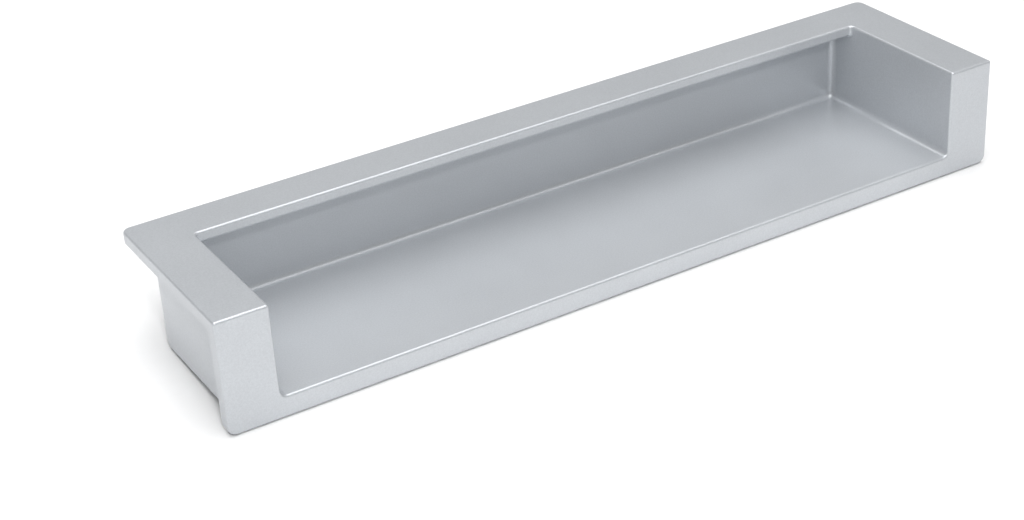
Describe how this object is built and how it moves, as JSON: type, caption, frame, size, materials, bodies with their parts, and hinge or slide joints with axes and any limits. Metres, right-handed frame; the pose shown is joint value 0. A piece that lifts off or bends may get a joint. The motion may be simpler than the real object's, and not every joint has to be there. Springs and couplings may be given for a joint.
{
  "type": "recessed pull handle",
  "caption": "Recessed pull handle for the edge of a drawer front or door: an L-shaped flanged trough with a lip to hook the fingers behind, fixed from behind by machine screws.",
  "frame": {"origin": "midway between the two screw holes, on the plane of their mouths, which is the bottom of the body", "axes": "+X along the handle, +Y from the panel's edge into the panel, +Z out of the panel's face, the way the handle is pulled"},
  "size_m": [0.173, 0.0415, 0.023],
  "materials": {
    "silver_paint": "fine matt silver paint on die-cast zinc"
  },
  "bodies": {
    "root": {"pull_handle": "silver_paint"}
  },
  "joints": []
}
